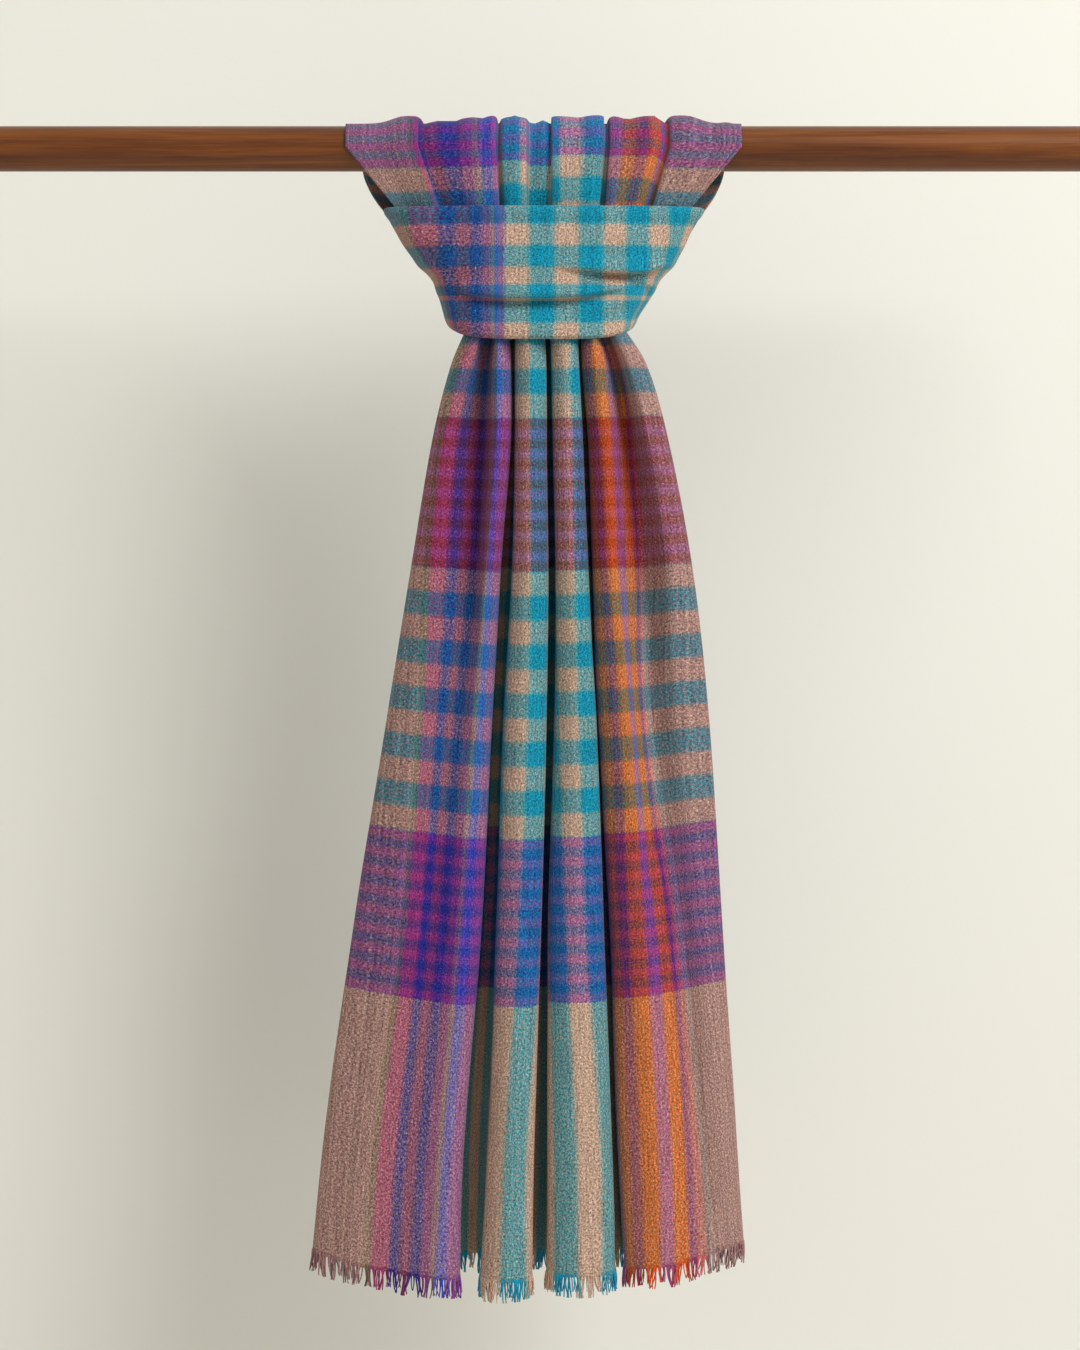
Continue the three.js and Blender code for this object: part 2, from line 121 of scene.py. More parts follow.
# Rounded lines through rows of fold points: rows x folds x 3 becomes rows x columns x 3
def throughFolds(points, perFold):
    first = 2 * points[:, :1] - points[:, 1:2]
    last = 2 * points[:, -1:] - points[:, -2:-1]
    ext = np.concatenate([first, points, last], axis=1)
    steps = np.maximum(np.linalg.norm(np.diff(ext, axis=1), axis=2, keepdims=True), 1e-6) ** 0.5
    p0, p1, p2, p3 = ext[:, :-3], ext[:, 1:-2], ext[:, 2:-1], ext[:, 3:]
    d0, d1, d2 = steps[:, :-2], steps[:, 1:-1], steps[:, 2:]
    t1 = ((p1 - p0) / d0 - (p2 - p0) / (d0 + d1) + (p2 - p1) / d1) * d1
    t2 = ((p2 - p1) / d1 - (p3 - p1) / (d1 + d2) + (p3 - p2) / d2) * d1
    parts = []
    for k in range(perFold):
        t = k / perFold
        parts.append(p1 + t1 * t + (-3 * p1 + 3 * p2 - 2 * t1 - t2) * t * t
                     + (2 * p1 - 2 * p2 + t1 + t2) * t ** 3)
    line = np.stack(parts, axis=2).reshape(len(points), -1, 3)
    return np.concatenate([line, points[:, -1:]], axis=1)


# Straight blending of one value per fold over the same columns
def overFolds(values, perFold):
    folds = np.arange(values.shape[1])
    at = np.arange((values.shape[1] - 1) * perFold + 1) / perFold
    return np.stack([np.interp(at, folds, row) for row in values])


def faceNormals(points):
    across = np.gradient(points, axis=1)
    along = np.gradient(points, axis=0)
    normal = np.cross(across, along)
    return normal / np.maximum(np.linalg.norm(normal, axis=2, keepdims=True), 1e-9)


# Uneven little swells of the cloth, the same each run: six waves, each turned by the golden angle
def swells(a, b, seed):
    goldenAngle = 2.399
    total = np.zeros(np.broadcast(a, b).shape)
    for k in range(6):
        turn = seed * 1.7 + k * goldenAngle
        size = 1 + 0.55 * k
        wave = np.sin(a * size * math.cos(turn) + b * size * math.sin(turn) + seed + 3.1 * k)
        total += wave / (1 + 0.6 * k)
    return total / 2.4


# How far a hanging cloth is pushed out of its folds: little swells, then soft creases.
# A crease fades out at both ends, or runs on into the hem where it ends there.
def hangingPush(piece, place, z):
    height, acrossScale, alongScale, seed, start, end = piece["swell"]
    push = height * swells(place[None] * acrossScale, z * alongScale, seed) * ease(z, start, end)
    for at, lean, top, low, half, depth in piece["creases"]:
        run = (z - top) / (low - top)
        fade = ease(run, 0, 0.35) * (1 - ease(run, 0.75, 1.0) * (0 if low == piece["bottom"] else 1))
        push = push + depth * fade * np.exp(-((place[None] - at - lean * run) / half) ** 2)
    return push


def addObject(name, data):
    made = bpy.data.objects.new(name, data)
    bpy.context.scene.collection.objects.link(made)
    return made


# Face and cloth measures of a tail, from rows of x, depth, drop and cloth measure across for each fold
def hangingGrid(piece, foldRows, side):
    levels, top, bottom = piece["levels"], piece["top"], piece["bottom"]
    heights = np.linspace(top, bottom, piece["rows"])
    points, acrossCut = [], []
    for z in heights:
        front, back = smoothAt(levels, piece["front"], z), smoothAt(levels, piece["back"], z)
        fall = (top - z) / (top - bottom)
        points.append([(smoothAt(levels, x, z), blend(front, back, smoothAt(levels, depth, z)),
                        z - drop * fall) for x, depth, drop, _ in foldRows])
        acrossCut.append([smoothAt(levels, cut, z) for _, _, _, cut in foldRows])
    face = throughFolds(np.array(points), piece["perFold"])
    across = overFolds(np.array(acrossCut, dtype=float), piece["perFold"])
    fromHem = np.repeat((heights - bottom)[:, None], face.shape[1], axis=1)
    push = hangingPush(piece, np.arange(face.shape[1]) / piece["perFold"], heights[:, None])
    return face + side * faceNormals(face) * push[..., None], across, fromHem


# Closed thin wall on a grid of face points, with the cloth's own measures as its UV map
def clothPiece(name, face, side, acrossCut, alongCut, material):
    rows, columns = face.shape[:2]
    inner = face + side * shawl["wall"] * faceNormals(face)
    verts = np.concatenate([face.reshape(-1, 3), inner.reshape(-1, 3)]) * mm
    grid = np.arange(rows * columns).reshape(rows, columns)
    back = grid + rows * columns
    a, b, c, d = grid[:-1, :-1], grid[:-1, 1:], grid[1:, 1:], grid[1:, :-1]
    e, f, g, h = back[:-1, :-1], back[:-1, 1:], back[1:, 1:], back[1:, :-1]
    quads = [np.stack([a, d, c, b], -1).reshape(-1, 4), np.stack([e, f, g, h], -1).reshape(-1, 4)]

    def rim(one, two, three, four):
        quads.append(np.stack([one, two, three, four], -1).reshape(-1, 4))

    rim(grid[0, :-1], grid[0, 1:], back[0, 1:], back[0, :-1])
    rim(grid[-1, 1:], grid[-1, :-1], back[-1, :-1], back[-1, 1:])
    rim(grid[1:, 0], grid[:-1, 0], back[:-1, 0], back[1:, 0])
    rim(grid[:-1, -1], grid[1:, -1], back[1:, -1], back[:-1, -1])
    faces = np.concatenate(quads)
    if side < 0:
        faces = faces[:, ::-1]
    mesh = bpy.data.meshes.new(name)
    mesh.from_pydata(verts.tolist(), [], faces.tolist())
    mesh.polygons.foreach_set("use_smooth", np.ones(len(faces), dtype=bool))
    measure = np.stack([acrossCut / shawl["width"], alongCut / shawl["length"]], -1).reshape(-1, 2)
    measure = np.concatenate([measure, measure])
    corner = np.empty(len(mesh.loops), dtype=np.int32)
    mesh.loops.foreach_get("vertex_index", corner)
    layer = mesh.uv_layers.new(name="cloth")
    layer.uv.foreach_set("vector", measure[corner].astype(np.float32).ravel())
    mesh.materials.append(material)
    mesh.update()
    return addObject(name, mesh)


# Nodes: values go straight onto sockets, and sockets are linked
def addNode(tree, kind, inputs=None, **settings):
    node = tree.nodes.new(kind)
    for key, value in settings.items():
        setattr(node, key, value)
    for key, value in (inputs or {}).items():
        if isinstance(value, bpy.types.NodeSocket):
            tree.links.new(value, node.inputs[key])
        else:
            node.inputs[key].default_value = value
    return node


def mathNode(tree, operation, a, b=0.0):
    return addNode(tree, "ShaderNodeMath", {0: a, 1: b}, operation=operation).outputs[0]


def times(tree, a, b):
    return mathNode(tree, "MULTIPLY", a, b)


def plus(tree, a, b):
    return mathNode(tree, "ADD", a, b)


def minus(tree, a, b):
    return mathNode(tree, "SUBTRACT", a, b)


def mixColour(tree, fac, a, b):
    return addNode(tree, "ShaderNodeMix", {0: fac, 6: a, 7: b}, data_type="RGBA").outputs[2]


def rampNode(tree, value, stops):
    node = addNode(tree, "ShaderNodeValToRGB", {0: value})
    elements = node.color_ramp.elements
    elements.remove(elements[1])
    for i, (position, colour) in enumerate(stops):
        stop = elements[0] if i == 0 else elements.new(position)
        stop.position = position
        stop.color = colour
    return node


def scaled(tree, colour, amount):
    return addNode(tree, "ShaderNodeVectorMath", {0: colour, "Scale": amount}, operation="SCALE").outputs[0]


def bumpInto(tree, shader, bump, height):
    strength, distance = bump
    node = addNode(tree, "ShaderNodeBump", {"Strength": strength, "Distance": distance, "Height": height})
    tree.links.new(node.outputs[0], shader.inputs["Normal"])


# New material with what is the same all over it set on the shader's own sockets
def newMaterial(name, finish):
    material = bpy.data.materials.new(name)
    material.use_nodes = True
    shader = material.node_tree.nodes["Principled BSDF"]
    for socket, value in finish.items():
        shader.inputs[socket].default_value = value
    return material, material.node_tree, shader


# Yarns are mixed as the eye sees them, and made linear at the end of the tree
def yarn(name):
    return tuple(part / 255 for part in shawl["yarns"][name]) + (1.0,)


def linearInto(tree, shader, colour):
    node = addNode(tree, "ShaderNodeGamma", {0: colour, 1: 2.2})
    tree.links.new(node.outputs[0], shader.inputs["Base Color"])


def noiseOn(tree, place, settings):
    return addNode(tree, "ShaderNodeTexNoise", {"Vector": place, **settings}).outputs["Fac"]


def noiseAt(tree, across, along, acrossScale, alongScale, detail=2.0, rough=0.6):
    place = addNode(tree, "ShaderNodeCombineXYZ", {0: times(tree, across, acrossScale),
                                                   1: times(tree, along, alongScale)}).outputs[0]
    return noiseOn(tree, place, {"Scale": 1.0, "Detail": detail, "Roughness": rough})


def fromMiddle(tree, across):
    return mathNode(tree, "ABSOLUTE", minus(tree, across, shawl["middle"]))


def mapRange(tree, value, settings):
    return addNode(tree, "ShaderNodeMapRange", {"Value": value, **settings}).outputs["Result"]


# 0 and 1 by turns along a count of rows, with soft changes
def byTurns(tree, count, hardness):
    wave = mathNode(tree, "SINE", times(tree, count, math.pi))
    turn = minus(tree, 0.5, times(tree, wave, hardness))
    return addNode(tree, "ShaderNodeClamp", {0: turn}).outputs[0]


def stripeRamp(tree, across):
    stops = [(start / shawl["width"], (0, 0, 0, 0) if name == "check" else yarn(name))
             for name, start in shawl["warp"]]
    ramp = rampNode(tree, mathNode(tree, "DIVIDE", across, shawl["width"]), stops)
    ramp.color_ramp.interpolation = "CONSTANT"
    column = mathNode(tree, "DIVIDE", minus(tree, across, shawl["checkStart"]), shawl["checkColumn"])
    turns = byTurns(tree, column, shawl["checkColumn"] * shawl["softEdge"])
    check = mixColour(tree, turns, yarn("beige"), yarn("teal"))
    return mixColour(tree, ramp.outputs["Alpha"], check, ramp.outputs["Color"])


# The plain edges are striped thread by thread: noise across them, yarns along it, and how much of it shows
threads = {"noise": (0.6, 1.0, 1.5), "share": 0.8,
           "yarns": [(0.38, "mulberry"), (0.52, "plain"), (0.72, "beige")]}


def warpColour(tree, across):
    blur = shawl["stripeBlur"]
    colour = mixColour(tree, 0.5, stripeRamp(tree, plus(tree, across, -blur)),
                       stripeRamp(tree, plus(tree, across, blur)))
    stops = [(position, yarn(name)) for position, name in threads["yarns"]]
    striped = rampNode(tree, noiseAt(tree, across, 0.0, *threads["noise"]), stops)
    inPlain = mathNode(tree, "GREATER_THAN", fromMiddle(tree, across), shawl["plainFrom"])
    return mixColour(tree, times(tree, inPlain, threads["share"]), colour, striped.outputs["Color"])


# A value that rises and falls with a noise
def around(tree, value, noise, amount):
    return plus(tree, value, times(tree, minus(tree, noise, 0.5), amount))


# The weave: how much weft shows in the checks and in the coloured borders, how strong each grain is, how far
# threads wander over a stripe's or row's edge, and noises as scales across and along, detail, roughness
heather = {
    "checkWeft": 0.5, "borderWeft": 0.4, "leastWeft": 0.06, "mostWeft": 0.94,
    "dash": 1.7, "speck": 0.9, "depth": 0.9, "nap": 1.9, "ribs": 0.4, "stripeWander": 6.5, "rowWander": 5.5,
    "looseRange": {"From Min": 0.55, "From Max": 0.8, "To Max": 0.3},
    "stripeNoise": (1.0, 0.8, 2.0, 0.8), "rowNoise": (1.1, 0.7, 2.0, 0.8),
    "dashNoise": (0.82, 0.46, 2.0, 0.75), "speckNoise": (1.05, 1.0, 1.0),
    "napNoise": (0.62, 0.7, 2.0, 0.85), "ribNoise": (0.75, 0.03, 1.0), "looseNoise": (1.15, 0.7, 1.0),
    "dashHeight": 0.7, "ribHeight": 0.6, "bump": (0.55, 0.0007),
    "finish": {"Roughness": 0.92, "Specular IOR Level": 0.15, "Sheen Weight": 0.1, "Sheen Roughness": 0.55,
               "Sheen Tint": (0.9, 0.85, 0.85, 1)},
}


# Weft yarns by rows, zone by zone from the hem
def weftColour(tree, fromHem):
    weft = yarn("beige")
    for start, end, rows, oddYarn, evenYarn in shawl["weft"]:
        row = times(tree, minus(tree, fromHem, start), rows / (end - start))
        turns = byTurns(tree, row, (end - start) / rows * shawl["softEdge"])
        zone = mixColour(tree, turns, yarn(oddYarn), yarn(evenYarn))
        weft = mixColour(tree, mathNode(tree, "GREATER_THAN", fromHem, float(start)), weft, zone)
    return weft


def clothMaterial():
    material, tree, shader = newMaterial("woven_pashmina", heather["finish"])
    place = addNode(tree, "ShaderNodeUVMap", uv_map="cloth").outputs[0]
    halves = addNode(tree, "ShaderNodeSeparateXYZ", {0: place})
    across = times(tree, halves.outputs[0], shawl["width"])
    along = times(tree, halves.outputs[1], shawl["length"])
    fromHem = mathNode(tree, "MINIMUM", along, minus(tree, shawl["length"], along))

    # threads wander a little, so stripe and row edges are soft
    stripeNoise = noiseAt(tree, across, along, *heather["stripeNoise"])
    rowNoise = noiseAt(tree, along, across, *heather["rowNoise"])
    warp = warpColour(tree, around(tree, across, stripeNoise, heather["stripeWander"]))
    weft = weftColour(tree, around(tree, fromHem, rowNoise, heather["rowWander"]))

    # heathered salt and pepper: warp and weft show by turns, in little dashes along the warp
    dash = noiseAt(tree, across, along, *heather["dashNoise"])
    speck = noiseAt(tree, along, across, *heather["speckNoise"])
    coloured = mathNode(tree, "GREATER_THAN", fromMiddle(tree, across), shawl["colouredFrom"])
    share = mapRange(tree, coloured, {"To Min": heather["checkWeft"], "To Max": heather["borderWeft"]})
    share = around(tree, around(tree, share, dash, heather["dash"]), speck, heather["speck"])
    share = addNode(tree, "ShaderNodeClamp", {0: share, 1: heather["leastWeft"],
                                              2: heather["mostWeft"]}).outputs[0]
    cloth = mixColour(tree, share, warp, weft)

    # darker gaps, ribs, and pale loose fibres on top
    nap = noiseAt(tree, along, across, *heather["napNoise"])
    ribs = noiseAt(tree, across, along, *heather["ribNoise"])
    tone = around(tree, around(tree, heather["depth"], nap, heather["nap"]), ribs, heather["ribs"])
    loose = noiseAt(tree, across, along, *heather["looseNoise"])
    pale = mapRange(tree, loose, heather["looseRange"])
    linearInto(tree, shader, mixColour(tree, pale, scaled(tree, cloth, tone), yarn("fibre")))
    height = around(tree, times(tree, dash, heather["dashHeight"]), ribs, heather["ribHeight"])
    bumpInto(tree, shader, heather["bump"], height)
    return material


# The fringe takes the warp's colours from the hem, and its fuzz makes it lighter and darker
fringeFinish = {
    "fuzzNoise": {"Scale": 900.0, "Detail": 2.0}, "fuzz": 0.9, "bump": (0.4, 0.0003),
    "finish": {"Roughness": 0.9, "Specular IOR Level": 0.15, "Sheen Weight": 0.25, "Sheen Roughness": 0.5},
}


def fringeMaterial():
    material, tree, shader = newMaterial("fringe_yarn", fringeFinish["finish"])
    ends = warpColour(tree, addNode(tree, "ShaderNodeAttribute", attribute_name="across").outputs["Fac"])
    place = addNode(tree, "ShaderNodeTexCoord").outputs["Object"]
    fuzz = noiseOn(tree, place, fringeFinish["fuzzNoise"])
    linearInto(tree, shader, scaled(tree, ends, around(tree, 1.0, fuzz, fringeFinish["fuzz"])))
    bumpInto(tree, shader, fringeFinish["bump"], fuzz)
    return material


# Satin varnished dark wood, with its figure and its pores drawn out along the rod
rodFinish = {
    "colours": [(0.36, (0.075, 0.017, 0.002, 1)), (0.5, (0.135, 0.036, 0.004, 1)),
                (0.66, (0.22, 0.066, 0.009, 1))],
    "figureScale": (3.0, 60.0, 60.0), "poreScale": (22.0, 900.0, 900.0), "figureShare": 0.75,
    "figureNoise": {"Scale": 1.3, "Detail": 6.0, "Roughness": 0.6, "Distortion": 0.4},
    "poreNoise": {"Scale": 1.0, "Detail": 3.0},
    "roughness": 0.32, "poreRoughness": 0.16, "bump": (0.12, 0.0004),
    "finish": {"Coat Weight": 0.15, "Specular IOR Level": 0.25, "Coat Roughness": 0.22},
}


def rodMaterial():
    material, tree, shader = newMaterial("varnished_wood", rodFinish["finish"])
    place = addNode(tree, "ShaderNodeTexCoord").outputs["Object"]
    drawn, fine = (addNode(tree, "ShaderNodeMapping", {"Vector": place, "Scale": rodFinish[scale]}).outputs[0]
                   for scale in ("figureScale", "poreScale"))
    figure = noiseOn(tree, drawn, rodFinish["figureNoise"])
    pores = noiseOn(tree, fine, rodFinish["poreNoise"])
    grain = plus(tree, times(tree, figure, rodFinish["figureShare"]),
                 times(tree, pores, 1 - rodFinish["figureShare"]))
    ramp = rampNode(tree, grain, rodFinish["colours"])
    tree.links.new(ramp.outputs["Color"], shader.inputs["Base Color"])
    roughness = plus(tree, rodFinish["roughness"], times(tree, pores, rodFinish["poreRoughness"]))
    tree.links.new(roughness, shader.inputs["Roughness"])
    bumpInto(tree, shader, rodFinish["bump"], pores)
    return material


woven = clothMaterial()
fringeYarn = fringeMaterial()
rodWood = rodMaterial()
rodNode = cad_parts["rod"]
rodNode.data.materials.clear()
rodNode.data.materials.append(rodWood)
print("materials made")

# Front tail and the cloth over the rod share one row for each fold, left to right: name, x at each level,
# depth from 0 (front line) to 1 (back line), drop of the hem, [x, height] at the lip and on the rod, cloth
# measure across at each level and on the rod, and how far the weft rows sit lower on the rod.
tail = {
    "levels": [-132, -163, -219, -308, -413, -577, -733, -823],
    "front": [-33, -36, -38, -40, -41, -43, -44, -46],
    "back": [5.6, 6, 8, 9, 10, 11, 11, 11],
    "top": -132, "bottom": -823, "rows": 185, "perFold": 8,
    # height, scale across and along, seed, and the heights over which the swells fade in
    "swell": (0.45, 2.1, 0.02, 2, -140, -240),
    # fold place, lean, from and to height, half width in folds, depth
    "creases": [(2.4, -0.25, -300, -700, 0.22, 1.6), (1.55, 0.2, -420, -823, 0.24, 1.8),
                (3.45, 0.1, -480, -823, 0.25, 1.5), (4.4, -0.1, -200, -560, 0.2, 1.0),
                (9.45, 0.15, -330, -640, 0.25, 0.9), (14.4, -0.2, -420, -760, 0.25, 1.0),
                (15.0, 0.1, -200, -420, 0.22, 0.7), (19.4, 0.2, -240, -600, 0.2, 1.2),
                (20.6, -0.2, -520, -823, 0.24, 1.7), (21.5, 0.15, -330, -760, 0.22, 1.5),
                (18.7, -0.1, -600, -823, 0.2, 1.1)],
}
folds = [
    ("leftTuck", [-48, -55, -64, -75, -93, -120, -150, -166], [0.9, 0.95, 1, 1, 0.9, 0.8, 0.65, 0.5], 2,
     [-110, 1.5], [-148, 1.5], 0, 0, 11),
    ("leftEdge", [-56, -69, -83, -98, -115, -141, -163, -172], 0.4, 0,
     [-102, 2.6], [-125, 2], [45, 43, 37, 34, 27, 19, 10, 5], 23, 11),
    ("leftCrest", [-45, -56, -73, -83, -93, -111, -135, -144],
     [0.14, 0.08, 0.08, 0.08, 0.08, 0.08, 0.08, 0.08], 8, [-79, 9.0], [-94, 6.6],
     [60, 58, 54, 53, 47, 41, 39, 37], 59, 11),
    ("leftDip", [-37, -44, -47, -52, -66, -85, -103, -113],
     [0.6, 0.66, 0.62, 0.46, 0.26, 0.15, 0.14, 0.14], 14, [-76.5, 1.6], [-93, 1.6],
     [80, 80, 82, 83, 79, 72, 70, 66], 69, 10),
    ("innerCrest", [-33, -34, -35, -42, -49, -61, -71, -77], 0.03, 19,
     [-55, 9.8], [-61, 5.6], [103, 102, 102, 98, 98, 99, 104, 103], 88, 10),
    ("innerEdge", [-26, -24.5, -25, -32, -38, -47, -60, -63], 0.28, 19,
     [-33, 9.8], [-35.5, 6.6], 115, 112, 10),
    ("valleyOneLeft", [-28, -27, -28, -35, -41, -50, -61, -63], 1, 6,
     [-34, 1.7], [-36.5, 1.7], 133, 127, 10),
    ("valleyOneRight", [-19, -18, -18, -22, -27, -32, -41, -43], 1, 6,
     [-31.5, 1.7], [-33.5, 1.7], 190, 224, 5),
    ("panelOneLeft", [-21, -21, -21, -23, -29, -35, -41, -47], 0.28, 20,
     [-29, 7.2], [-31, 5.2], [220, 220, 220, 220, 218, 218, 224, 221], 241, 5),
    ("panelOneMiddle", [-10, -10, -10, -11, -13, -19, -25, -29], 0, 21,
     [-21, 10.4], [-21.5, 6.8], [237, 237, 237, 235, 235, 237, 241, 240], 249, 5),
    ("panelOneRight", [0, 1.5, 2, 3, 2, -3, -8, -10], 0.2, 20,
     [-12.5, 8.5], [-13, 5.4], [253, 253, 253, 253, 253, 253, 261, 258], 261, 6),
    ("valleyTwoLeft", [-2, -1, -1, 0, -2, -6, -9, -11], 1, 5,
     [-11, 1.7], [-10, 2.4], 287, 340, 9),
    ("valleyTwoRight", [8, 9, 10, 12, 12, 9, 8, 6], 1, 5,
     [4, 2.2], [7.5, 1.8], 339, 360, 9),
    ("panelTwoLeft", [5, 6, 7, 9, 9, 4, 4, 4], 0.28, 16,
     [6.5, 8.5], [6, 6.2], [390, 390, 391, 392, 388, 374, 368, 368], 381, 1),
    ("panelTwoMiddle", [15, 17, 18, 21, 24, 25, 27, 29], 0, 17,
     [21, 11.7], [22, 6.8], [402, 405, 405, 406, 406, 401, 394, 395], 402, 0),
    ("panelTwoRight", [25, 26, 29, 33, 38, 44, 50, 52], 0.18, 15,
     [41, 10.4], [45, 6.8], [415, 416, 416, 419, 422, 422, 417, 418], 423, 0),
    ("valleyThreeLeft", [22, 23, 26, 29, 34, 41, 47, 49], 1, 3,
     [40, 1.7], [44.5, 1.7], 447, 447, 1),
    ("valleyThreeRight", [31, 32, 37, 40, 44, 53, 59, 64], 1, 3,
     [44.5, 1.7], [48.5, 1.7], 501, 511, 2),
    ("orangeLeft", [28, 29, 34, 37, 41, 50, 56, 61], 0.3, 12,
     [46.5, 8], [50, 6.4], [532, 532, 531, 526, 524, 525, 525, 524], 517, 1),
    ("orangeCrest", [36, 41, 47, 51, 61, 72, 82, 87], 0.03, 10,
     [71, 10.4], [83, 6.4], [542, 548, 547, 546, 547, 550, 551, 554], 545, 1),
    ("rightDip", [41, 53, 64, 73, 79, 90, 105, 109], [0.6, 0.72, 0.74, 0.6, 0.34, 0.18, 0.14, 0.12], 6,
     [79.5, 1.7], [93, 1.7], [559, 562, 575, 580, 589, 570, 574, 574], 568, 6),
    ("rightCrest", [49, 63, 78, 93, 100, 115, 126, 131], [0.2, 0.12, 0.1, 0.1, 0.1, 0.1, 0.1, 0.1], -2,
     [82, 9.5], [95.5, 7.0], [596, 596, 600, 603, 608, 608, 596, 592], 598, 11),
    ("rightEdge", [58, 77, 93, 110, 122, 133, 143, 149], 0.42, -6,
     [102, 2.6], [128, 2.2], [615, 615, 617, 620, 623, 626, 626, 627], 614, 11),
    ("rightTuck", [50, 64, 78, 94, 108, 121, 134, 144], [0.9, 0.95, 1, 1, 0.9, 0.8, 0.65, 0.5], -6,
     [110, 1.5], [148, 1.5], 630, 630, 11),
]
tailRows = [(fold[1], fold[2], fold[3], fold[6]) for fold in folds]
tailFace, tailAcross, tailAlong = hangingGrid(tail, tailRows, 1)
frontTail = clothPiece("front_tail_cloth", tailFace, 1, tailAcross, tailAlong, woven)
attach(frontTail, "root")
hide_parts("front_tail")
print("front tail made", len(frontTail.data.polygons))

# Cloth over the rod
overRod = {
    "rodRadius": 17.3, "lipHeight": -46, "lipBase": -14, "meetsRod": -12, "behind": (-4.7, -9.4, -14),
    "leastRise": 1.5, "bottom": -131.7, "perFold": 8, "lipAlong": 778.0, "gather": 0.08,
    "spread": 0.9, "pleatBelow": 0.35, "stretchRound": 0.25,
    "rowsUnder": 22, "rowsUp": 12, "rowsRound": 34,
    # small pleats that start on the rod: fold place there, how far it leans by the lip, half width, height
    "pleats": [(1.5, 0.2, 0.2, 1.3), (2.5, 0.15, 0.16, -1.2), (3.45, -0.1, 0.14, 1.5),
               (3.85, -0.05, 0.12, -1.5), (4.5, 0.1, 0.14, -1.7), (9.0, 0.1, 0.2, 0.9),
               (11.5, 0.2, 0.16, 2.6), (14.2, 0.1, 0.2, -0.9), (18.45, 0.1, 0.2, -3.2),
               (19.0, 0, 0.12, 1.0), (21.5, -0.1, 0.2, 1.4), (22.4, -0.1, 0.2, 0.9)],
}


# The cloth's way: y, z, the outward direction there, and how far it is up to the lip and on to the rod
def rodPath():
    path = []
    lip, base, radius, meets = (overRod[key] for key in ("lipHeight", "lipBase", "rodRadius", "meetsRod"))
    under = np.linspace(overRod["bottom"], lip, overRod["rowsUnder"], endpoint=False)
    for z in np.concatenate([under, np.linspace(lip, meets, overRod["rowsUp"])]):
        rise = (z - tail["top"]) / (lip - tail["top"])
        if z < lip:
            y = blend(tail["back"][0] + overRod["leastRise"], base, rise)
        else:
            y = blend(base, -radius, (z - lip) / (meets - lip))
        path.append((y, z, -1.0, 0.0, min(rise, 1.0), max(0.0, (z - lip) / -lip)))
    for angle in np.radians(np.linspace(180, 0, overRod["rowsRound"])):
        y, z = math.cos(angle), math.sin(angle)
        path.append((radius * y, radius * z, y, z, 1.0, 1.0))
    for z in overRod["behind"]:
        path.append((radius, z, 1.0, 0.0, 1.0, 1.0))
    return np.array(path)


def atTop(values):
    return values if np.isscalar(values) else values[0]


def rodGrid():
    path = rodPath()
    front, back = tail["front"][0], tail["back"][0]
    rows, acrossCut, shift = [], [], []
    for y, z, ny, nz, rise, onRod in path:
        row = []
        for fold in folds:
            tailRise = back + overRod["leastRise"] - blend(front, back, atTop(fold[2]))
            narrowed = fold[5][0] * (1 - overRod["gather"] * max(0.0, ny))
            x = blend(blend(fold[1][0], fold[4][0], rise ** overRod["spread"]), narrowed, onRod)
            height = blend(blend(tailRise, fold[4][1], rise), fold[5][1], onRod)
            row.append((x, max(height, overRod["leastRise"]), 0.0))
        rows.append(row)
        acrossCut.append([blend(atTop(fold[6]), fold[7], rise) for fold in folds])
        shift.append([fold[8] * rise for fold in folds])
    line = throughFolds(np.array(rows), overRod["perFold"])
    height = np.maximum(line[..., 1], overRod["leastRise"])
    outY, outZ = path[:, 2:3], path[:, 3:4]
    face = np.stack([line[..., 0], path[:, 0:1] + outY * height, path[:, 1:2] + outZ * height], -1)
    across = overFolds(np.array(acrossCut), overRod["perFold"])
    place = np.arange(face.shape[1])[None] / overRod["perFold"]
    onRod = path[:, 5:6]
    shown = blend(overRod["pleatBelow"], 1.0, onRod) * path[:, 4:5]
    push = np.zeros(face.shape[:2])
    for at, lean, half, tall in overRod["pleats"]:
        push += tall * np.exp(-((place - at - lean * (1 - onRod)) / half) ** 2) * shown
    face += np.stack([0 * push, outY * push, outZ * push], -1)
    length = np.linalg.norm(np.diff(path[:, :2], axis=0), axis=1)
    length = np.cumsum(length * (1 + overRod["stretchRound"] * (path[1:, 5] > 0.99)))
    length = np.concatenate([[0], length])
    lipRow = int(np.argmin(abs(path[:, 1] - overRod["lipHeight"])))
    along = (length - length[lipRow] + overRod["lipAlong"])[:, None]
    return face, across, along + overFolds(np.array(shift), overRod["perFold"])


rodFace, rodAcross, rodAlong = rodGrid()
rodCloth = clothPiece("over_rod_cloth", rodFace, -1, rodAcross, rodAlong, woven)
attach(rodCloth, "root")
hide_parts("over_rod")
print("cloth over the rod made", len(rodCloth.data.polygons))

